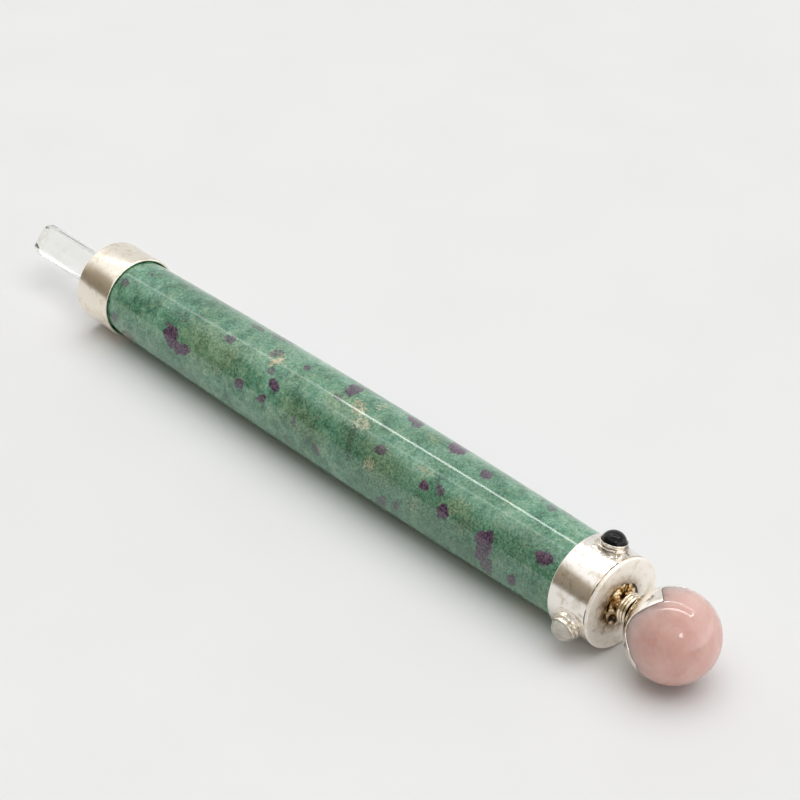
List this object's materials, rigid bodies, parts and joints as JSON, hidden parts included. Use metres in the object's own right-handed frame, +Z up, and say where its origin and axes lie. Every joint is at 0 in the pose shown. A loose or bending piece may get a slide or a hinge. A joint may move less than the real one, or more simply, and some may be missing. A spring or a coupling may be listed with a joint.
{
  "type": "crystal wand",
  "caption": "Polished green stone wand with a clear crystal point at one end and a pink stone ball in a silver petal cup at the other.",
  "frame": {"origin": "on the resting surface, under the middle of the collar that holds the quartz point", "axes": "+X along the wand from the quartz point to the ball, +Z up from the surface that the wand lies on"},
  "size_m": [0.2191, 0.0232, 0.023],
  "materials": {
    "ruby_fuchsite": "polished mottled green fuchsite with dark red ruby spots",
    "silver": "polished silver with hand-worked edges",
    "solder": "fire-stained silver solder",
    "clear_quartz": "clear natural crystal faces",
    "rose_quartz": "polished milky pink",
    "onyx": "polished black",
    "moonstone": "polished milky white",
    "garnet": "polished dark red"
  },
  "bodies": {
    "root": {"stone_rod": "ruby_fuchsite", "crystal_collar": "silver", "quartz_point": "clear_quartz", "stone_collar": "silver", "end_disc": "silver", "neck_post": "solder", "neck_ring_1": "silver", "neck_ring_2": "silver", "neck_ring_3": "silver", "petal_cup": "silver", "rose_quartz_ball": "rose_quartz", "onyx_bezel": "silver", "onyx_cabochon": "onyx", "moonstone_bezel": "silver", "moonstone_cabochon": "moonstone", "garnet_bezel": "silver", "garnet_cabochon": "garnet"}
  },
  "joints": []
}
